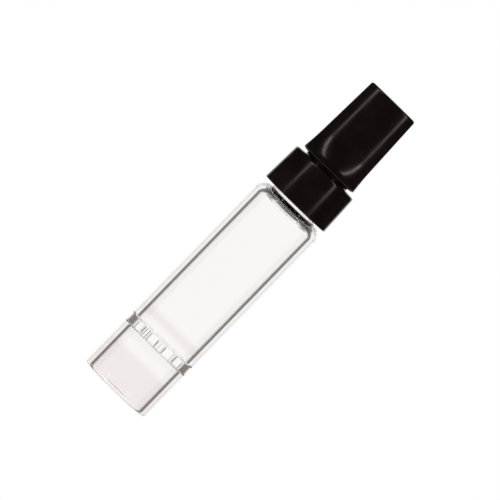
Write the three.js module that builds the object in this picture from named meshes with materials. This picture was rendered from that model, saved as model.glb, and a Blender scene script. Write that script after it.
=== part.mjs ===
// Clear glass mouthpiece tube: a straight glass barrel with a perforated glass disc fused across
// its bore, necked down at the top, and a black two-piece tip pushed onto the neck.
// Millimetres, +Z up along the tube, origin at the centre of the open lower rim.
import * as THREE from 'three';

// ---- driving dimensions ----
const BARREL_OUTER_R = 8.0;
const GLASS_WALL = 1.5;
const BARREL_INNER_R = BARREL_OUTER_R - GLASS_WALL;

// Fire-polished lower rim: two rounded edges with a narrow flat land between.
const RIM_EDGE = 0.6;

// The shoulder is a little thinner than the barrel's wall.
const SHOULDER_Z = 50.3;
const SHOULDER_WALL = 1.18;
const SHOULDER_OUTER_EDGE = 2.0;
const SHOULDER_INNER_EDGE = 1.2;
const NECK_OUTER_R = 5.4;
const NECK_INNER_R = 4.0;
const NECK_TOP_Z = 54.9;
const NECK_EDGE = 0.5;
const NECK_FILLET = 0.4;

const DISC_BOTTOM_Z = 11.6;
const DISC_THICKNESS = 1.8;
const DISC_HOLES = 4;
const DISC_HOLE_R = 1.0;
const DISC_HOLE_RING_R = 3.42;
const DISC_HOLE_RING_X = -0.13;
const DISC_TURN_DEG = 10;

const COLLAR_BOTTOM_Z = 50.85;
const COLLAR_BOTTOM_R = 7.95;
const COLLAR_BOTTOM_EDGE = 0.15;
const COLLAR_TOP_R = 7.65;
const COLLAR_TOP_EDGE = 0.5;

// The collar's top is a very low cone, and the mouth section turns just above it.
const COLLAR_TOP_Z = 59.68;
const COLLAR_CONE_DEG = 4;
const SOCKET_R = NECK_OUTER_R + 0.15;
const SOCKET_TOP_Z = NECK_TOP_Z + 0.25;

// The neck seal fills a ring-shaped recess in the collar's socket.
const SEAL_BOTTOM_Z = 51.8;
const SEAL_HEIGHT = 2.4;
const SEAL_INNER_R = NECK_OUTER_R + 0.04;
const SEAL_OUTER_R = 6.3;
const RECESS_CLEARANCE = 0.04;

// The mouth section plugs into the collar by a spigot with one sealing ring in a groove.
const SPIGOT_BORE_R = 4.6;
const SPIGOT_R = SPIGOT_BORE_R - 0.06;
const SPIGOT_FLOOR_Z = 55.75;
const SPIGOT_END_GAP = 0.15;
const AIR_BORE_R = 3.0;
const RING_SECTION_R = 0.48;
const RING_Z = 57.8;
const GROOVE_R = SPIGOT_BORE_R - 2 * RING_SECTION_R - 0.06;
const GROOVE_WIDTH = 1.2;

// A round core below the mouth section's base leaves an open groove above the collar.
const CORE_R = 5.4;
const CORE_BOTTOM_Z = COLLAR_TOP_Z + 0.06;

// Outside of the mouth section: half-width and half-depth of an oval that changes with height.
const MOUTH_BASE_Z = 60.12;
const MOUTH_BASE_EDGE = 0.4;
const MOUTH_TOP_Z = 78.8;
const MOUTH_TOP_HALF_WIDTH = 5.78;
const MOUTH_TOP_HALF_DEPTH = 3.0;
const MOUTH_TOP_EDGE = 0.5;
const WIDTH_TAPER = 0.0362;
const SPREAD_Z = 65.4;
const SPREAD_CURVE = 0.01;
const FLARE_Z = 66.2;
const FLARE_HALF_DEPTH = 3.45;
const FLARE_CURVE = 0.064;
const FLARE_ROOT = 0.6;
const FLARE_ROOT_POWER = 10;
const SLOT_HALF_WIDTH = 4.1;
const SLOT_HALF_DEPTH = 1.6;
const CHANNEL_TURN_Z = 61.0;
const CHANNEL_FLAT_Z = 66.5;
const CHANNEL_FLAT_HALF_DEPTH = 2.0;

const SEGMENTS = 48;
const HOLE_SEGMENTS = 16;
const RING_SEGMENTS = 8;
const SHOULDER_STEPS = 5;
const RIM_STEPS = 4;
const EDGE_STEPS = 3;
const FILLET_STEPS = 2;
const FLARE_STEPS = 9;
const FLARE_CROWDING = 1.5;
const CHANNEL_STEPS = 5;

// ---- materials ----
const clearGlass = { color: 0xf4f7f6, roughness: 0.03, metalness: 0, transparent: true, opacity: 0.35 };
const blackPlastic = { color: 0x14100e, roughness: 0.22, metalness: 0 };
const softSeal = { color: 0x5d5757, roughness: 0.75, metalness: 0 };

// ---- helpers ----

// Points of a circular arc in the (radius, height) plane, ends included.
function arc(centreR, centreZ, radius, fromDeg, toDeg, steps) {
  const points = [];
  for (let i = 0; i <= steps; i += 1) {
    const angle = THREE.MathUtils.degToRad(fromDeg + ((toDeg - fromDeg) * i) / steps);
    points.push([centreR + radius * Math.cos(angle), centreZ + radius * Math.sin(angle)]);
  }
  return points;
}

// A ring-shaped solid of revolution about +Z from a closed (radius, height) outline, which runs
// up on the outside and down on the inside.
function turned(outline) {
  const points = outline.map(([radius, z]) => new THREE.Vector2(radius, z));
  points.push(points[0].clone());
  const geometry = new THREE.LatheGeometry(points, SEGMENTS);
  geometry.rotateX(Math.PI / 2);
  return geometry;
}

// A tubular solid through rings of equal point count, closed from the last ring to the first.
function lofted(rings) {
  const positions = rings.flat(2);
  const indices = [];
  for (let k = 0; k < rings.length; k += 1) {
    const here = k * SEGMENTS;
    const next = ((k + 1) % rings.length) * SEGMENTS;
    for (let i = 0; i < SEGMENTS; i += 1) {
      const j = (i + 1) % SEGMENTS;
      indices.push(here + i, here + j, next + j, here + i, next + j, next + i);
    }
  }
  const geometry = new THREE.BufferGeometry();
  geometry.setAttribute('position', new THREE.Float32BufferAttribute(positions, 3));
  geometry.setIndex(indices);
  return geometry;
}

// One ellipse of points at height z, counter-clockwise seen from above.
function ovalRing(halfWidth, halfDepth, z) {
  const ring = [];
  for (let i = 0; i < SEGMENTS; i += 1) {
    const angle = (2 * Math.PI * i) / SEGMENTS;
    ring.push([halfWidth * Math.cos(angle), halfDepth * Math.sin(angle), z]);
  }
  return ring;
}

function part(name, geometry, look) {
  const mesh = new THREE.Mesh(geometry, new THREE.MeshStandardMaterial(look));
  mesh.name = name;
  return mesh;
}

// ---- glass ----

// Barrel, shoulder and neck are one piece of glass.
function glassTube() {
  const ceilingZ = SHOULDER_Z - SHOULDER_WALL;
  const outline = [
    ...arc(BARREL_OUTER_R - RIM_EDGE, RIM_EDGE, RIM_EDGE, -90, 0, RIM_STEPS),
    ...arc(BARREL_OUTER_R - SHOULDER_OUTER_EDGE, SHOULDER_Z - SHOULDER_OUTER_EDGE,
      SHOULDER_OUTER_EDGE, 0, 90, SHOULDER_STEPS),
    ...arc(NECK_OUTER_R + NECK_FILLET, SHOULDER_Z + NECK_FILLET, NECK_FILLET,
      -90, -180, FILLET_STEPS),
    ...arc(NECK_OUTER_R - NECK_EDGE, NECK_TOP_Z - NECK_EDGE, NECK_EDGE, 0, 90, EDGE_STEPS),
    ...arc(NECK_INNER_R + NECK_EDGE, NECK_TOP_Z - NECK_EDGE, NECK_EDGE, 90, 180, EDGE_STEPS),
    ...arc(NECK_INNER_R + NECK_FILLET, ceilingZ + NECK_FILLET, NECK_FILLET,
      180, 270, FILLET_STEPS),
    ...arc(BARREL_INNER_R - SHOULDER_INNER_EDGE, ceilingZ - SHOULDER_INNER_EDGE,
      SHOULDER_INNER_EDGE, 90, 0, SHOULDER_STEPS),
    [BARREL_INNER_R, DISC_BOTTOM_Z + DISC_THICKNESS],
    [BARREL_INNER_R, DISC_BOTTOM_Z],
    ...arc(BARREL_INNER_R + RIM_EDGE, RIM_EDGE, RIM_EDGE, 180, 270, RIM_STEPS),
  ];
  return part('glass_tube', turned(outline), clearGlass);
}

function circlePath(x, y, radius, segments) {
  const points = [];
  for (let i = 0; i < segments; i += 1) {
    const angle = (2 * Math.PI * i) / segments;
    points.push(new THREE.Vector2(x + radius * Math.cos(angle), y + radius * Math.sin(angle)));
  }
  return points;
}

// Four holes on a ring that sits slightly off the axis.
function screenDisc() {
  const outline = new THREE.Shape(circlePath(0, 0, BARREL_INNER_R, SEGMENTS));
  for (let i = 0; i < DISC_HOLES; i += 1) {
    const angle = THREE.MathUtils.degToRad(DISC_TURN_DEG + (360 * i) / DISC_HOLES);
    const x = DISC_HOLE_RING_X + DISC_HOLE_RING_R * Math.cos(angle);
    const y = DISC_HOLE_RING_R * Math.sin(angle);
    outline.holes.push(new THREE.Path(circlePath(x, y, DISC_HOLE_R, HOLE_SEGMENTS)));
  }
  const geometry = new THREE.ExtrudeGeometry(outline, { depth: DISC_THICKNESS, bevelEnabled: false });
  const disc = part('screen_disc', geometry, clearGlass);
  disc.position.z = DISC_BOTTOM_Z;
  return disc;
}

// ---- collar and its neck seal ----

// The socket for the neck opens downwards and the spigot bore opens upwards, with a web between.
function tipCollar() {
  const recessR = SEAL_OUTER_R + RECESS_CLEARANCE;
  const recessBottomZ = SEAL_BOTTOM_Z - RECESS_CLEARANCE;
  const recessTopZ = SEAL_BOTTOM_Z + SEAL_HEIGHT + RECESS_CLEARANCE;
  const cone = THREE.MathUtils.degToRad(COLLAR_CONE_DEG);
  const edgeR = COLLAR_TOP_R - COLLAR_TOP_EDGE;
  const coneRise = (edgeR + COLLAR_TOP_EDGE * Math.sin(cone) - SPIGOT_BORE_R) * Math.tan(cone);
  const edgeZ = COLLAR_TOP_Z - coneRise - COLLAR_TOP_EDGE * Math.cos(cone);
  const outline = [
    ...arc(COLLAR_BOTTOM_R - COLLAR_BOTTOM_EDGE, COLLAR_BOTTOM_Z + COLLAR_BOTTOM_EDGE,
      COLLAR_BOTTOM_EDGE, -90, 0, FILLET_STEPS),
    ...arc(edgeR, edgeZ, COLLAR_TOP_EDGE, 0, 90 - COLLAR_CONE_DEG, EDGE_STEPS),
    [SPIGOT_BORE_R, COLLAR_TOP_Z],
    [SPIGOT_BORE_R, SPIGOT_FLOOR_Z],
    [AIR_BORE_R, SPIGOT_FLOOR_Z],
    [AIR_BORE_R, SOCKET_TOP_Z],
    [SOCKET_R, SOCKET_TOP_Z],
    [SOCKET_R, recessTopZ],
    [recessR, recessTopZ],
    [recessR, recessBottomZ],
    [SOCKET_R, recessBottomZ],
    [SOCKET_R, COLLAR_BOTTOM_Z],
  ];
  return part('tip_collar', turned(outline), blackPlastic);
}

function neckSeal() {
  const top = SEAL_BOTTOM_Z + SEAL_HEIGHT;
  const outline = [
    [SEAL_OUTER_R, SEAL_BOTTOM_Z],
    [SEAL_OUTER_R, top],
    [SEAL_INNER_R, top],
    [SEAL_INNER_R, SEAL_BOTTOM_Z],
  ];
  return part('neck_seal', turned(outline), softSeal);
}

// ---- mouth section and its sealing ring ----

// Straight taper, with a slight spread towards the base.
function outerHalfWidth(z) {
  const spread = Math.max(0, SPREAD_Z - z);
  return MOUTH_TOP_HALF_WIDTH + WIDTH_TAPER * (MOUTH_TOP_Z - z) + SPREAD_CURVE * spread ** 2;
}

// Flattened above FLARE_Z and sweeping out in a concave curve to a nearly round base below it.
function outerHalfDepth(z) {
  if (z >= FLARE_Z) {
    const share = (z - FLARE_Z) / (MOUTH_TOP_Z - FLARE_Z);
    return THREE.MathUtils.lerp(FLARE_HALF_DEPTH, MOUTH_TOP_HALF_DEPTH, share);
  }
  const drop = FLARE_Z - z;
  const fullDrop = FLARE_Z - MOUTH_BASE_Z - MOUTH_BASE_EDGE;
  return FLARE_HALF_DEPTH + FLARE_CURVE * drop ** 2 + FLARE_ROOT * (drop / fullDrop) ** FLARE_ROOT_POWER;
}

function channelRing(z) {
  if (z <= CHANNEL_TURN_Z) {
    return ovalRing(AIR_BORE_R, AIR_BORE_R, z);
  }
  if (z <= CHANNEL_FLAT_Z) {
    const share = THREE.MathUtils.smoothstep(z, CHANNEL_TURN_Z, CHANNEL_FLAT_Z);
    const halfWidth = THREE.MathUtils.lerp(AIR_BORE_R, SLOT_HALF_WIDTH, share);
    return ovalRing(halfWidth, THREE.MathUtils.lerp(AIR_BORE_R, CHANNEL_FLAT_HALF_DEPTH, share), z);
  }
  const share = (z - CHANNEL_FLAT_Z) / (MOUTH_TOP_Z - CHANNEL_FLAT_Z);
  return ovalRing(SLOT_HALF_WIDTH,
    THREE.MathUtils.lerp(CHANNEL_FLAT_HALF_DEPTH, SLOT_HALF_DEPTH, share), z);
}

// Rings up the outside from the spigot's end, over the top edge and down the air channel.
function mouthSection() {
  const spigotEndZ = SPIGOT_FLOOR_Z + SPIGOT_END_GAP;
  const spigotProfile = [
    [AIR_BORE_R, spigotEndZ],
    [SPIGOT_R, spigotEndZ],
    [SPIGOT_R, RING_Z - GROOVE_WIDTH / 2],
    [GROOVE_R, RING_Z - GROOVE_WIDTH / 2],
    [GROOVE_R, RING_Z + GROOVE_WIDTH / 2],
    [SPIGOT_R, RING_Z + GROOVE_WIDTH / 2],
    [SPIGOT_R, CORE_BOTTOM_Z],
    [CORE_R, CORE_BOTTOM_Z],
  ];
  const rings = spigotProfile.map(([radius, z]) => ovalRing(radius, radius, z));
  const baseZ = MOUTH_BASE_Z + MOUTH_BASE_EDGE;
  for (const [share, z] of arc(0, baseZ, MOUTH_BASE_EDGE, -90, 0, EDGE_STEPS)) {
    const reach = share / MOUTH_BASE_EDGE;
    rings.push(ovalRing(THREE.MathUtils.lerp(CORE_R, outerHalfWidth(baseZ), reach),
      THREE.MathUtils.lerp(CORE_R, outerHalfDepth(baseZ), reach), z));
  }
  for (let i = 1; i <= FLARE_STEPS; i += 1) {
    const z = THREE.MathUtils.lerp(baseZ, FLARE_Z, (i / FLARE_STEPS) ** FLARE_CROWDING);
    rings.push(ovalRing(outerHalfWidth(z), outerHalfDepth(z), z));
  }
  const edgeStart = MOUTH_TOP_Z - MOUTH_TOP_EDGE;
  for (const [inset, z] of arc(-MOUTH_TOP_EDGE, edgeStart, MOUTH_TOP_EDGE, 0, 90, EDGE_STEPS)) {
    rings.push(ovalRing(outerHalfWidth(edgeStart) + inset, outerHalfDepth(edgeStart) + inset, z));
  }
  rings.push(channelRing(MOUTH_TOP_Z));
  for (let i = 0; i <= CHANNEL_STEPS; i += 1) {
    rings.push(channelRing(THREE.MathUtils.lerp(CHANNEL_FLAT_Z, CHANNEL_TURN_Z, i / CHANNEL_STEPS)));
  }
  return part('mouth_section', lofted(rings), blackPlastic);
}

function spigotRing() {
  const centreR = (GROOVE_R + SPIGOT_BORE_R) / 2;
  const outline = arc(centreR, RING_Z, RING_SECTION_R, 0, 360, RING_SEGMENTS).slice(0, -1);
  return part('spigot_ring', turned(outline), softSeal);
}

// ---- assembly ----
const tube = new THREE.Group();
tube.add(glassTube(), screenDisc(), neckSeal(), tipCollar(), spigotRing(), mouthSection());

export default tube;
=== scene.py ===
"""Looks of the clear glass mouthpiece tube: fused glass, a glossy black tip and its soft seals.

+Z runs up along the tube and the origin is the centre of the open lower rim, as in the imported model.
Outlines are in millimetres, and Blender's objects are in metres.
"""
import math

import bmesh
import bpy
from mathutils import Matrix, Vector
from mathutils.geometry import delaunay_2d_cdt


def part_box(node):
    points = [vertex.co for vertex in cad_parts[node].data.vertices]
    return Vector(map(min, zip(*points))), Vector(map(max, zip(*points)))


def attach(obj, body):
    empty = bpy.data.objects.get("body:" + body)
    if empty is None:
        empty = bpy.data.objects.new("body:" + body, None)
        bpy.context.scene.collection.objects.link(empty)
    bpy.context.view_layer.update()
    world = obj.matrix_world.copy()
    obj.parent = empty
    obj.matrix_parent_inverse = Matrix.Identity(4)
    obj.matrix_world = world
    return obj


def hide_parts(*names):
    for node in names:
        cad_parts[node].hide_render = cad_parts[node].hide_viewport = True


MM = 0.001

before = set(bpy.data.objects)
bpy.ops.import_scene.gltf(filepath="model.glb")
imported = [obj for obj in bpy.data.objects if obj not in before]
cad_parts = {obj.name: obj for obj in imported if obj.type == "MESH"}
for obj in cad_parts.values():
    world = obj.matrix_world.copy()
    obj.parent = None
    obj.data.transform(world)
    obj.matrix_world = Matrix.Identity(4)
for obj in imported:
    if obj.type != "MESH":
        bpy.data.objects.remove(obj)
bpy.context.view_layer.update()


# ---------------------------------------------------------------- measures from the frame

def node_span(node):
    """Lowest height, highest height and outer radius of a CAD node, in millimetres."""
    low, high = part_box(node)
    return low[2] / MM, high[2] / MM, high[0] / MM


_, NECK_TOP, BARREL_R = node_span("glass_tube")
DISC_BOTTOM, DISC_TOP, BORE_R = node_span("screen_disc")
SEAL_BOTTOM, SEAL_TOP, SEAL_R = node_span("neck_seal")
COLLAR_BOTTOM, COLLAR_TOP, COLLAR_R = node_span("tip_collar")
RING_BOTTOM, RING_TOP, RING_R = node_span("spigot_ring")
SPIGOT_END, MOUTH_TOP, _ = node_span("mouth_section")


# ---------------------------------------------------------------- driving dimensions

# Glass, millimetres
RIM_EDGE = 0.7
SHOULDER_GAP = 0.55
SHOULDER_TOP = COLLAR_BOTTOM - SHOULDER_GAP
SHOULDER_WALL = 1.18
SHOULDER_OUTER_EDGE = 2.0
SHOULDER_INNER_EDGE = 1.2
NECK_R = 5.4
NECK_BORE_R = 4.0
NECK_EDGE = 0.5
NECK_FILLET = 0.45
WALL_GUARD = 0.02

# Fused disc, millimetres
FUSE_FILLET = 0.35
FLAT_MARGIN = 0.05
DISC_FLAT_R = BORE_R - FUSE_FILLET - FLAT_MARGIN
HOLES = 4
HOLE_R = 1.0
HOLE_EDGE = 0.15
HOLE_LIP_R = HOLE_R + HOLE_EDGE
HOLE_FLAT_R = HOLE_LIP_R + FLAT_MARGIN
HOLE_RING_R = 3.42
HOLE_RING_X = -0.13
DISC_TURN_DEG = 10.0

# Collar, millimetres
COLLAR_TOP_R = 7.65
COLLAR_TOP_EDGE = 0.5
COLLAR_CONE_DEG = 4.0
COLLAR_BOTTOM_EDGE = 0.15
SOCKET_GAP = 0.15
SOCKET_R = NECK_R + SOCKET_GAP
SOCKET_HEADROOM = 0.25
SOCKET_TOP = NECK_TOP + SOCKET_HEADROOM
SOCKET_CHAMFER = 0.2
RECESS_GAP = 0.04
SPIGOT_BORE_R = 4.6
SPIGOT_BORE_CHAMFER = 0.1
SPIGOT_END_GAP = 0.15
SPIGOT_FLOOR = SPIGOT_END - SPIGOT_END_GAP
AIR_BORE_R = 3.0

# Neck seal, millimetres
SEAL_SQUEEZE = 0.02
SEAL_LIP = 0.1
RIBS = 2
RIB_DEPTH = 0.12

# Mouth section, millimetres
RUNNING_GAP = 0.06
SPIGOT_R = SPIGOT_BORE_R - RUNNING_GAP
SPIGOT_CHAMFER = 0.2
RING_SPACE = 1.02
GROOVE_R = SPIGOT_BORE_R - RING_SPACE
GROOVE_WIDTH = 1.2
CORE_R = 5.4
CORE_BOTTOM = COLLAR_TOP + RUNNING_GAP
MOUTH_BASE = 60.12
MOUTH_BASE_EDGE = 0.4
MOUTH_TOP_HALF_WIDTH = 5.78
MOUTH_TOP_HALF_DEPTH = 3.0
MOUTH_TOP_EDGE = 0.5
WIDTH_TAPER = 0.0362
SPREAD_START = 65.4
SPREAD_CURVE = 0.01
FLARE_START = 66.2
FLARE_HALF_DEPTH = 3.45
FLARE_CURVE = 0.064
FLARE_ROOT = 0.6
FLARE_ROOT_POWER = 10
SLOT_HALF_WIDTH = 4.1
SLOT_HALF_DEPTH = 1.6
SLOT_LIP = 0.15
SLOT_LIP_BEND = 0.3
CHANNEL_TURN = 61.0
CHANNEL_FLAT = 66.5
CHANNEL_HALF_DEPTH = 2.0

# Mesh fineness: lengths in millimetres, angles in degrees, and counts
WELD_DISTANCE = 0.0002
SHARP_DEG = 35.0
GLASS_SHARP_DEG = 60.0
TURNED_SEGMENTS = 192
HOLE_SEGMENTS = 48
FLOOR_SEGMENTS = 96
SMALL_EDGE_STEPS = 5
FUSE_STEPS = 6
NECK_STEPS = 8
LIP_STEPS = 8
EDGE_STEPS = 10
SHOULDER_INNER_STEPS = 12
SHOULDER_OUTER_STEPS = 14
RING_SECTION_STEPS = 20
RIB_STEPS = 36
CDT_TOLERANCE = 1e-6
FLARE_STEPS = 40
FLARE_CROWDING = 1.5
SIDE_STEPS = 4
CHANNEL_STEPS = 14

# Glass looks: refractive index, noise stretch along the tube, and base tints by height in millimetres,
# faintly greyer in bands
GLASS_IOR = 1.47
DRAW_LINE_SCALE = (420.0, 420.0, 18.0)
CLEAR_TINT = (0.99, 0.985, 0.98)
GREY_BAND_TINT = (0.952, 0.928, 0.921)
FAINT_BAND_TINT = (0.972, 0.955, 0.950)
# Clear glass with faintly greyer bands at the listed heights
GREY_BAND_STOPS = ((0.0, GREY_BAND_TINT), (6.9, GREY_BAND_TINT), (8.1, CLEAR_TINT), (9.3, CLEAR_TINT),
              (10.3, FAINT_BAND_TINT), (11.4, FAINT_BAND_TINT), (11.8, CLEAR_TINT), (14.9, CLEAR_TINT),
              (15.6, GREY_BAND_TINT), (16.5, GREY_BAND_TINT), (17.5, CLEAR_TINT))

# Black plastic and silicone looks: tones and roughness by the level of the noise
BLACK_IOR = 1.49
BLACK_TONES = ((0.35, (0.0040, 0.0021, 0.0019)), (0.7, (0.0060, 0.0034, 0.0031)))
WORN_NOISE = (0.35, 0.75)
WORN_ROUGHNESS = (0.16, 0.22)
SILICONE_TONES = ((0.0, (0.085, 0.074, 0.074)), (1.0, (0.135, 0.118, 0.118)))
SILICONE_ROUGHNESS = 0.62

# Studio backdrop: tints by the angle in degrees from straight behind the tube
WHITE = (1.0, 1.0, 1.0)
FLAG_TINT = (0.185, 0.160, 0.140)
SIDE_TINT = (0.95, 0.92, 0.89)
ROOM_TINT = (0.012, 0.008, 0.007)
HALF_TURN_DEG = 180.0
SEEN_THROUGH_GLASS = ((0.0, WHITE), (34.0, WHITE), (42.0, FLAG_TINT), (60.0, FLAG_TINT),
                      (70.0, SIDE_TINT), (HALF_TURN_DEG, SIDE_TINT))
SEEN_IN_GLOSS = ((0.0, WHITE), (24.0, WHITE), (32.0, ROOM_TINT), (HALF_TURN_DEG, ROOM_TINT))

# Strip lights, metres: each step is low height, high height and radiance
STRIP_AZIMUTH_DEG = 50.0
STRIP_DISTANCE = 0.6
STRIP_WIDTH = 0.07
STRIP_TINT = (1.0, 0.93, 0.88)
STRIP_STEPS = ((0.065, 0.085, 0.9), (0.085, 0.15, 2.2), (0.15, 1.2, 5.0))

# Floor, millimetres: radius and rise of each ring
FLOOR_Z = -300.0
FLOOR_RINGS = ((1.0, 0.0), (400.0, 0.0), (1200.0, 0.0), (2000.0, 0.0), (2100.0, 8.0))
FLOOR_TINT = (0.9, 0.9, 0.9)
FLOOR_ROUGHNESS = 0.9

# Camera, metres, and light paths
CAMERA_DISTANCE = 2.03
CAMERA_HEIGHT = 0.104
AIM_HEIGHT = 0.0382
ROLL_DEG = 44.2
VIEW_WIDTH = 0.098232
SENSOR_MM = 36.0
GLASS_BOUNCES = 48


# ---------------------------------------------------------------- mesh helpers

def arc(centre_r, centre_z, radius, start_deg, end_deg, steps):
    """Points of a circular arc in the (radius, height) plane, ends included."""
    points = []
    for i in range(steps + 1):
        angle = math.radians(start_deg + (end_deg - start_deg) * i / steps)
        points.append((centre_r + radius * math.cos(angle), centre_z + radius * math.sin(angle)))
    return points


def oval(half_width, half_depth, z, segments=TURNED_SEGMENTS):
    """One ring of points, in millimetres, counter-clockwise seen from above."""
    ring = []
    for i in range(segments):
        angle = 2 * math.pi * i / segments
        ring.append((half_width * math.cos(angle), half_depth * math.sin(angle), z))
    return ring


def add_rings(bm, rings, closed):
    """Skins a list of equal rings with quads; closed also joins the last ring to the first."""
    made = [[bm.verts.new(Vector(p) * MM) for p in ring] for ring in rings]
    count = len(made[0])
    last = len(made) if closed else len(made) - 1
    for k in range(last):
        here, above = made[k], made[(k + 1) % len(made)]
        for i in range(count):
            j = (i + 1) % count
            bm.faces.new((here[i], here[j], above[j], above[i]))


def finish_mesh(bm, name, sharp_deg=SHARP_DEG):
    """Welds, orients and smooths a bmesh and links it as an object."""
    bmesh.ops.remove_doubles(bm, verts=bm.verts, dist=WELD_DISTANCE * MM)
    bmesh.ops.recalc_face_normals(bm, faces=bm.faces)
    mesh = bpy.data.meshes.new(name)
    bm.to_mesh(mesh)
    bm.free()
    for polygon in mesh.polygons:
        polygon.use_smooth = True
    mesh.set_sharp_from_angle(angle=math.radians(sharp_deg))
    piece = bpy.data.objects.new(name, mesh)
    bpy.context.scene.collection.objects.link(piece)
    return piece


def turned(name, outline):
    """A solid of revolution about +Z from a closed (radius, height) outline in millimetres."""
    bm = bmesh.new()
    add_rings(bm, [oval(r, r, z) for r, z in outline], closed=True)
    return finish_mesh(bm, name)


# ---------------------------------------------------------------- glass

def hole_centres():
    """Centres of the disc's holes, evenly round a ring that sits a little to one side."""
    centres = []
    for i in range(HOLES):
        angle = math.radians(DISC_TURN_DEG + 360.0 * i / HOLES)
        centres.append((HOLE_RING_X + HOLE_RING_R * math.cos(angle), HOLE_RING_R * math.sin(angle)))
    return centres


def circle(x, y, radius, segments):
    """Flat points of a circle round (x, y)."""
    points = []
    for i in range(segments):
        angle = 2 * math.pi * i / segments
        points.append((x + radius * math.cos(angle), y + radius * math.sin(angle)))
    return points


def add_disc_face(bm, z):
    """The flat face of the fused disc at height z, out to its fillet and in to the holes."""
    points = []
    edges = []
    loops = [circle(0, 0, DISC_FLAT_R, TURNED_SEGMENTS)]
    for x, y in hole_centres():
        loops.append(circle(x, y, HOLE_FLAT_R, HOLE_SEGMENTS))
    for loop in loops:
        start = len(points)
        points += [Vector(p) for p in loop]
        edges += [(start + i, start + (i + 1) % len(loop)) for i in range(len(loop))]
    verts, _, faces, *_ = delaunay_2d_cdt(points, edges, [], 0, CDT_TOLERANCE)
    made = [bm.verts.new((v.x * MM, v.y * MM, z * MM)) for v in verts]
    for face in faces:
        centre = sum((verts[i] for i in face), Vector((0.0, 0.0))) / len(face)
        in_hole = any(math.hypot(centre.x - x, centre.y - y) < HOLE_FLAT_R for x, y in hole_centres())
        if centre.length < DISC_FLAT_R and not in_hole:
            bm.faces.new([made[i] for i in face])


def add_hole_wall(bm, x, y):
    """One hole through the disc with melted, rounded edges."""
    profile = [(HOLE_FLAT_R, DISC_TOP)]
    profile += arc(HOLE_LIP_R, DISC_TOP - HOLE_EDGE, HOLE_EDGE, 90, 180, SMALL_EDGE_STEPS)
    profile += arc(HOLE_LIP_R, DISC_BOTTOM + HOLE_EDGE, HOLE_EDGE, 180, 270, SMALL_EDGE_STEPS)
    profile.append((HOLE_FLAT_R, DISC_BOTTOM))
    rings = []
    for radius, z in profile:
        rings.append([(px, py, z) for px, py in circle(x, y, radius, HOLE_SEGMENTS)])
    add_rings(bm, rings, closed=False)


def guards(radius, start_z, end_z):
    """Two rings just inside the ends of a straight wall, so that its shading stays straight."""
    inset = math.copysign(WALL_GUARD, end_z - start_z)
    return [(radius, start_z + inset), (radius, end_z - inset)]


def glass_outline():
    """From the disc's upper face up the bore, over the neck, down outside and in to its lower face."""
    ceiling = SHOULDER_TOP - SHOULDER_WALL
    inner_turn = ceiling - SHOULDER_INNER_EDGE
    outer_turn = SHOULDER_TOP - SHOULDER_OUTER_EDGE
    neck_turn = NECK_TOP - NECK_EDGE
    fuse_r = BORE_R - FUSE_FILLET
    outline = [(DISC_FLAT_R, DISC_TOP)]
    outline += arc(fuse_r, DISC_TOP + FUSE_FILLET, FUSE_FILLET, 270, 360, FUSE_STEPS)
    outline += guards(BORE_R, DISC_TOP + FUSE_FILLET, inner_turn)
    outline += arc(BORE_R - SHOULDER_INNER_EDGE, inner_turn, SHOULDER_INNER_EDGE, 0, 90,
                   SHOULDER_INNER_STEPS)
    outline += arc(NECK_BORE_R + NECK_FILLET, ceiling + NECK_FILLET, NECK_FILLET, 270, 180, NECK_STEPS)
    outline += arc(NECK_BORE_R + NECK_EDGE, neck_turn, NECK_EDGE, 180, 90, NECK_STEPS)
    outline += arc(NECK_R - NECK_EDGE, neck_turn, NECK_EDGE, 90, 0, NECK_STEPS)
    outline += arc(NECK_R + NECK_FILLET, SHOULDER_TOP + NECK_FILLET, NECK_FILLET, 180, 270, NECK_STEPS)
    outline += arc(BARREL_R - SHOULDER_OUTER_EDGE, outer_turn, SHOULDER_OUTER_EDGE, 90, 0,
                   SHOULDER_OUTER_STEPS)
    outline += guards(BARREL_R, outer_turn, RIM_EDGE)
    outline += arc(BARREL_R - RIM_EDGE, RIM_EDGE, RIM_EDGE, 0, -90, EDGE_STEPS)
    outline += arc(BORE_R + RIM_EDGE, RIM_EDGE, RIM_EDGE, 270, 180, EDGE_STEPS)
    outline += guards(BORE_R, RIM_EDGE, DISC_BOTTOM - FUSE_FILLET)
    outline += arc(fuse_r, DISC_BOTTOM - FUSE_FILLET, FUSE_FILLET, 0, 90, FUSE_STEPS)
    outline.append((DISC_FLAT_R, DISC_BOTTOM))
    return outline


def fused_glass():
    """Barrel, shoulder, neck and disc as the single body of glass that melting makes of them."""
    bm = bmesh.new()
    add_rings(bm, [oval(r, r, z) for r, z in glass_outline()], closed=False)
    add_disc_face(bm, DISC_TOP)
    add_disc_face(bm, DISC_BOTTOM)
    for x, y in hole_centres():
        add_hole_wall(bm, x, y)
    return finish_mesh(bm, "fused_glass", GLASS_SHARP_DEG)


# ---------------------------------------------------------------- black tip and seals

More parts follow.
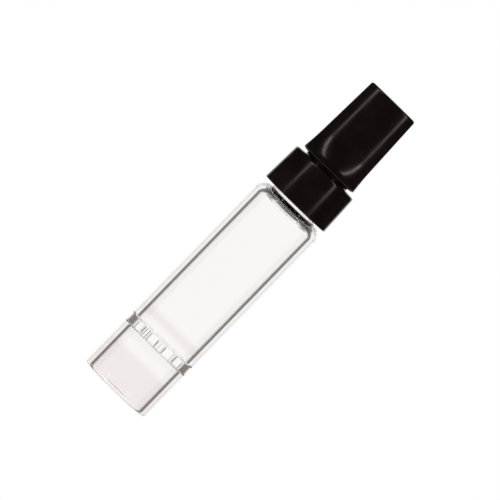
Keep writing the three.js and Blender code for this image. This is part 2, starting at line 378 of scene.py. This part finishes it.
def collar_shell():
    """Round collar: a socket for the neck with a recess for its seal, and a bore for the spigot."""
    recess_r = SEAL_R + RECESS_GAP
    bottom_turn = COLLAR_BOTTOM + COLLAR_BOTTOM_EDGE
    outline = arc(COLLAR_R - COLLAR_BOTTOM_EDGE, bottom_turn, COLLAR_BOTTOM_EDGE, -90, 0,
                  SMALL_EDGE_STEPS)
    outline.append((COLLAR_R, bottom_turn + WALL_GUARD))
    cone = math.radians(COLLAR_CONE_DEG)
    edge_r = COLLAR_TOP_R - COLLAR_TOP_EDGE
    cone_rise = (edge_r + COLLAR_TOP_EDGE * math.sin(cone) - SPIGOT_BORE_R) * math.tan(cone)
    edge_z = COLLAR_TOP - cone_rise - COLLAR_TOP_EDGE * math.cos(cone)
    outline += arc(edge_r, edge_z, COLLAR_TOP_EDGE, 0, 90 - COLLAR_CONE_DEG, EDGE_STEPS)
    outline += [
        (SPIGOT_BORE_R + SPIGOT_BORE_CHAMFER, COLLAR_TOP),
        (SPIGOT_BORE_R, COLLAR_TOP - SPIGOT_BORE_CHAMFER),
        (SPIGOT_BORE_R, SPIGOT_FLOOR),
        (AIR_BORE_R, SPIGOT_FLOOR),
        (AIR_BORE_R, SOCKET_TOP),
        (SOCKET_R, SOCKET_TOP),
        (SOCKET_R, SEAL_TOP + RECESS_GAP),
        (recess_r, SEAL_TOP + RECESS_GAP),
        (recess_r, SEAL_BOTTOM - RECESS_GAP),
        (SOCKET_R, SEAL_BOTTOM - RECESS_GAP),
        (SOCKET_R, COLLAR_BOTTOM + SOCKET_CHAMFER),
        (SOCKET_R + SOCKET_CHAMFER, COLLAR_BOTTOM),
    ]
    return turned("collar_shell", outline)


def half_width(z):
    """Straight taper, with a slight spread towards the base."""
    spread = max(0.0, SPREAD_START - z)
    return MOUTH_TOP_HALF_WIDTH + WIDTH_TAPER * (MOUTH_TOP - z) + SPREAD_CURVE * spread ** 2


def half_depth(z):
    """Flattened at the lips, sweeping out in a concave curve to a nearly round base."""
    if z >= FLARE_START:
        share = (z - FLARE_START) / (MOUTH_TOP - FLARE_START)
        return FLARE_HALF_DEPTH + (MOUTH_TOP_HALF_DEPTH - FLARE_HALF_DEPTH) * share
    drop = FLARE_START - z
    full_drop = FLARE_START - MOUTH_BASE - MOUTH_BASE_EDGE
    return FLARE_HALF_DEPTH + FLARE_CURVE * drop ** 2 + FLARE_ROOT * (drop / full_drop) ** FLARE_ROOT_POWER


def channel_oval(z):
    """The air channel: a round bore that eases into a flat slot at the lips."""
    if z <= CHANNEL_TURN:
        return oval(AIR_BORE_R, AIR_BORE_R, z)
    if z <= CHANNEL_FLAT:
        share = (z - CHANNEL_TURN) / (CHANNEL_FLAT - CHANNEL_TURN)
        ease = share * share * (3 - 2 * share)
        return oval(AIR_BORE_R + (SLOT_HALF_WIDTH - AIR_BORE_R) * ease,
                    AIR_BORE_R + (CHANNEL_HALF_DEPTH - AIR_BORE_R) * ease, z)
    share = (z - CHANNEL_FLAT) / (MOUTH_TOP - CHANNEL_FLAT)
    return oval(SLOT_HALF_WIDTH, CHANNEL_HALF_DEPTH + (SLOT_HALF_DEPTH - CHANNEL_HALF_DEPTH) * share, z)


def spigot_rings():
    """The spigot with the groove of its sealing ring, out to the core above the collar."""
    groove_z = (RING_BOTTOM + RING_TOP) / 2
    outline = [
        (AIR_BORE_R, SPIGOT_END),
        (SPIGOT_R - SPIGOT_CHAMFER, SPIGOT_END),
        (SPIGOT_R, SPIGOT_END + SPIGOT_CHAMFER),
        (SPIGOT_R, groove_z - GROOVE_WIDTH / 2),
        (GROOVE_R, groove_z - GROOVE_WIDTH / 2),
        (GROOVE_R, groove_z + GROOVE_WIDTH / 2),
        (SPIGOT_R, groove_z + GROOVE_WIDTH / 2),
        (SPIGOT_R, CORE_BOTTOM),
        (CORE_R, CORE_BOTTOM),
    ]
    return [oval(r, r, z) for r, z in outline]


def skin_rings():
    """The outside of the mouth section, from its rounded base up the flare and over the lips."""
    rings = []
    base_z = MOUTH_BASE + MOUTH_BASE_EDGE
    for offset, z in arc(0, base_z, MOUTH_BASE_EDGE, -90, 0, EDGE_STEPS):
        reach = offset / MOUTH_BASE_EDGE
        rings.append(oval(CORE_R + (half_width(base_z) - CORE_R) * reach,
                          CORE_R + (half_depth(base_z) - CORE_R) * reach, z))
    for i in range(1, FLARE_STEPS + 1):
        z = base_z + (FLARE_START - base_z) * (i / FLARE_STEPS) ** FLARE_CROWDING
        rings.append(oval(half_width(z), half_depth(z), z))
    edge_start = MOUTH_TOP - MOUTH_TOP_EDGE
    for i in range(1, SIDE_STEPS):
        z = FLARE_START + (edge_start - FLARE_START) * i / SIDE_STEPS
        rings.append(oval(half_width(z), half_depth(z), z))
    for inset, z in arc(-MOUTH_TOP_EDGE, edge_start, MOUTH_TOP_EDGE, 0, 90, LIP_STEPS):
        rings.append(oval(half_width(edge_start) + inset, half_depth(edge_start) + inset, z))
    return rings


def channel_rings():
    """The slot's rounded lip and the air channel, down to where it is round."""
    bend = SLOT_LIP_BEND * SLOT_LIP
    rings = [
        oval(SLOT_HALF_WIDTH + SLOT_LIP, SLOT_HALF_DEPTH + SLOT_LIP, MOUTH_TOP),
        oval(SLOT_HALF_WIDTH + bend, SLOT_HALF_DEPTH + bend, MOUTH_TOP - bend),
        channel_oval(MOUTH_TOP - SLOT_LIP),
    ]
    for i in range(CHANNEL_STEPS + 1):
        rings.append(channel_oval(CHANNEL_FLAT + (CHANNEL_TURN - CHANNEL_FLAT) * i / CHANNEL_STEPS))
    return rings


def mouthpiece():
    """Spigot, core and flattened mouth in one moulding, with the air channel through it."""
    bm = bmesh.new()
    add_rings(bm, spigot_rings() + skin_rings() + channel_rings(), closed=True)
    return finish_mesh(bm, "mouthpiece")


def seal_sleeve():
    """Soft sleeve squeezed against the glass neck, with rounded lips and two ribs on its outside."""
    inner_r = NECK_R - SEAL_SQUEEZE
    outline = [(inner_r, SEAL_TOP - SEAL_LIP), (inner_r, SEAL_BOTTOM + SEAL_LIP),
               (inner_r + SEAL_LIP, SEAL_BOTTOM)]
    for i in range(RIB_STEPS + 1):
        share = i / RIB_STEPS
        rib = abs(math.sin(math.pi * RIBS * share))
        outline.append((SEAL_R - RIB_DEPTH * (1 - rib), SEAL_BOTTOM + (SEAL_TOP - SEAL_BOTTOM) * share))
    outline.append((inner_r + SEAL_LIP, SEAL_TOP))
    return turned("seal_sleeve", outline)


def sealing_ring():
    """Round-section ring in the spigot's groove."""
    section_r = (RING_TOP - RING_BOTTOM) / 2
    middle = (RING_BOTTOM + RING_TOP) / 2
    section = arc(RING_R - section_r, middle, section_r, 0, 360, RING_SECTION_STEPS)
    return turned("sealing_ring", section[:-1])


# ---------------------------------------------------------------- node helpers

def new_material(name):
    """A node material, its node tree and its shader."""
    material = bpy.data.materials.new(name)
    material.use_nodes = True
    return material, material.node_tree, material.node_tree.nodes["Principled BSDF"]


def object_coordinates(tree):
    return tree.nodes.new("ShaderNodeTexCoord").outputs["Object"]


def add_axis(tree, vector, axis):
    """One component of a vector."""
    split = tree.nodes.new("ShaderNodeSeparateXYZ")
    tree.links.new(vector, split.inputs[0])
    return split.outputs[axis]


def add_division(tree, value, divisor):
    divide = tree.nodes.new("ShaderNodeMath")
    divide.operation = "DIVIDE"
    divide.inputs[1].default_value = divisor
    tree.links.new(value, divide.inputs[0])
    return divide.outputs[0]


def add_noise(tree, vector, scale, detail):
    noise = tree.nodes.new("ShaderNodeTexNoise")
    noise.inputs["Scale"].default_value = scale
    noise.inputs["Detail"].default_value = detail
    tree.links.new(vector, noise.inputs["Vector"])
    return noise.outputs["Fac"]


def add_ramp(tree, value, stops):
    """A colour by value, from (position, tint) stops in rising order."""
    node = tree.nodes.new("ShaderNodeValToRGB")
    elements = node.color_ramp.elements
    while len(elements) < len(stops):
        elements.new(stops[-1][0])
    for element, (position, tint) in zip(elements, stops):
        element.position = position
        element.color = (*tint, 1.0)
    tree.links.new(value, node.inputs["Fac"])
    return node.outputs["Color"]


def add_bump(tree, shader, height, strength, distance):
    """Relief on the shader's surface; distance is in metres."""
    bump = tree.nodes.new("ShaderNodeBump")
    bump.inputs["Strength"].default_value = strength
    bump.inputs["Distance"].default_value = distance
    tree.links.new(height, bump.inputs["Height"])
    tree.links.new(bump.outputs["Normal"], shader.inputs["Normal"])


# ---------------------------------------------------------------- materials

def glass_material():
    """Drawn borosilicate: almost colourless, with faint draw lines and faintly greyer bands at some
    heights.
    """
    material, tree, shader = new_material("borosilicate_glass")
    shader.inputs["IOR"].default_value = GLASS_IOR
    shader.inputs["Transmission Weight"].default_value = 1.0
    shader.inputs["Roughness"].default_value = 0.0
    coords = object_coordinates(tree)
    share = add_division(tree, add_axis(tree, coords, "Z"), NECK_TOP * MM)
    # Base colour by height: clear, with faintly greyer bands
    band_tint = add_ramp(tree, share, [(z / NECK_TOP, tint) for z, tint in GREY_BAND_STOPS])
    tree.links.new(band_tint, shader.inputs["Base Color"])
    stretch = tree.nodes.new("ShaderNodeMapping")
    stretch.inputs["Scale"].default_value = DRAW_LINE_SCALE
    tree.links.new(coords, stretch.inputs["Vector"])
    draw_lines = add_noise(tree, stretch.outputs["Vector"], scale=1.0, detail=2.0)
    add_bump(tree, shader, draw_lines, strength=0.02, distance=0.0002)
    return material


def black_material():
    """Gloss black moulding with a faint moulded grain and finger-worn patches."""
    material, tree, shader = new_material("gloss_black_plastic")
    shader.inputs["IOR"].default_value = BLACK_IOR
    coords = object_coordinates(tree)
    patches = add_noise(tree, coords, scale=260.0, detail=5.0)
    tree.links.new(add_ramp(tree, patches, BLACK_TONES), shader.inputs["Base Color"])
    worn = tree.nodes.new("ShaderNodeMapRange")
    worn.inputs["From Min"].default_value, worn.inputs["From Max"].default_value = WORN_NOISE
    worn.inputs["To Min"].default_value, worn.inputs["To Max"].default_value = WORN_ROUGHNESS
    tree.links.new(patches, worn.inputs["Value"])
    tree.links.new(worn.outputs["Result"], shader.inputs["Roughness"])
    grain = add_noise(tree, coords, scale=3500.0, detail=3.0)
    add_bump(tree, shader, grain, strength=0.05, distance=0.00002)
    return material


def seal_material():
    """Matte dark silicone with a dusty, uneven surface."""
    material, tree, shader = new_material("matte_silicone")
    shader.inputs["Roughness"].default_value = SILICONE_ROUGHNESS
    dust = add_noise(tree, object_coordinates(tree), scale=1500.0, detail=6.0)
    tree.links.new(add_ramp(tree, dust, SILICONE_TONES), shader.inputs["Base Color"])
    add_bump(tree, shader, dust, strength=0.3, distance=0.00003)
    return material


# ---------------------------------------------------------------- studio

def studio_world():
    """White sweep behind, dark flags beside it and soft fill all round.

    What glass bends sees the sweep, the flags and the fill; gloss sees the sweep and a dark room;
    everything else sees plain white.
    """
    world = bpy.data.worlds.new("studio")
    world.use_nodes = True
    bpy.context.scene.world = world
    tree = world.node_tree
    direction = tree.nodes.new("ShaderNodeTexCoord").outputs["Generated"]
    from_behind = tree.nodes.new("ShaderNodeMath")
    from_behind.operation = "ARCCOSINE"
    tree.links.new(add_axis(tree, direction, "Y"), from_behind.inputs[0])
    half_turns = add_division(tree, from_behind.outputs[0], math.pi)

    def by_angle(stops):
        return add_ramp(tree, half_turns, [(degrees / HALF_TURN_DEG, tint) for degrees, tint in stops])

    path = tree.nodes.new("ShaderNodeLightPath")
    pick_gloss = tree.nodes.new("ShaderNodeMixRGB")
    pick_gloss.inputs["Color1"].default_value = (*WHITE, 1.0)
    tree.links.new(path.outputs["Is Glossy Ray"], pick_gloss.inputs["Fac"])
    tree.links.new(by_angle(SEEN_IN_GLOSS), pick_gloss.inputs["Color2"])
    pick_through = tree.nodes.new("ShaderNodeMixRGB")
    tree.links.new(path.outputs["Is Transmission Ray"], pick_through.inputs["Fac"])
    tree.links.new(pick_gloss.outputs["Color"], pick_through.inputs["Color1"])
    tree.links.new(by_angle(SEEN_THROUGH_GLASS), pick_through.inputs["Color2"])
    tree.links.new(pick_through.outputs["Color"], tree.nodes["Background"].inputs["Color"])


def strip_light(azimuth_deg, low_z, high_z, radiance):
    """A narrow upright soft box facing the tube; azimuth is from the camera's side, +X positive."""
    light = bpy.data.lights.new("strip", "AREA")
    light.color = STRIP_TINT
    light.shape = "RECTANGLE"
    light.size = STRIP_WIDTH
    light.size_y = high_z - low_z
    light.energy = radiance * math.pi * light.size * light.size_y
    lamp = bpy.data.objects.new("strip", light)
    angle = math.radians(azimuth_deg)
    middle = (low_z + high_z) / 2
    lamp.location = (STRIP_DISTANCE * math.sin(angle), -STRIP_DISTANCE * math.cos(angle), middle)
    toward = Vector((0.0, 0.0, middle)) - lamp.location
    lamp.rotation_euler = toward.to_track_quat("-Z", "Y").to_euler()
    bpy.context.scene.collection.objects.link(lamp)


def floor_sheet():
    """A plain pale floor, gently rolled up at its edge."""
    bm = bmesh.new()
    rings = [oval(radius, radius, FLOOR_Z + rise, FLOOR_SEGMENTS) for radius, rise in FLOOR_RINGS]
    add_rings(bm, rings, closed=False)
    floor = finish_mesh(bm, "floor")
    material, _, shader = new_material("pale_floor")
    shader.inputs["Base Color"].default_value = (*FLOOR_TINT, 1.0)
    shader.inputs["Roughness"].default_value = FLOOR_ROUGHNESS
    floor.data.materials.append(material)


def photo_camera():
    """Long lens, looking slightly down, rolled so that the tube lies across the picture."""
    camera = bpy.data.cameras.new("camera")
    camera.sensor_width = SENSOR_MM
    camera.lens = SENSOR_MM * CAMERA_DISTANCE / VIEW_WIDTH
    holder = bpy.data.objects.new("camera", camera)
    holder.location = (0.0, -CAMERA_DISTANCE, CAMERA_HEIGHT)
    toward = Vector((0.0, 0.0, AIM_HEIGHT)) - holder.location
    level = toward.to_track_quat("-Z", "Y").to_matrix()
    holder.rotation_euler = (level @ Matrix.Rotation(math.radians(ROLL_DEG), 3, "Z")).to_euler()
    bpy.context.scene.collection.objects.link(holder)
    bpy.context.scene.camera = holder


def light_paths():
    """Thick clear glass passes light on through many bounces."""
    cycles = bpy.context.scene.cycles
    cycles.max_bounces = GLASS_BOUNCES
    cycles.transmission_bounces = GLASS_BOUNCES
    cycles.glossy_bounces = GLASS_BOUNCES


# ---------------------------------------------------------------- assembly

def place(piece, body, slot, material, *nodes):
    """Gives a visual piece its material and its body, and hides the CAD nodes that it stands for; slot is
    not used.
    """
    piece.data.materials.append(material)
    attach(piece, body)
    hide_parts(*nodes)


black = black_material()
silicone = seal_material()
place(fused_glass(), "glass", "clear_glass", glass_material(), "glass_tube", "screen_disc")
place(collar_shell(), "collar", "black_plastic", black, "tip_collar")
place(seal_sleeve(), "collar", "soft_seal", silicone, "neck_seal")
place(mouthpiece(), "mouth", "black_plastic", black, "mouth_section")
place(sealing_ring(), "mouth", "soft_seal", silicone, "spigot_ring")

photo_camera()
studio_world()
floor_sheet()
for side in (-1, 1):
    for low_z, high_z, radiance in STRIP_STEPS:
        strip_light(side * STRIP_AZIMUTH_DEG, low_z, high_z, radiance)
bpy.context.scene.view_settings.view_transform = "Standard"
light_paths()
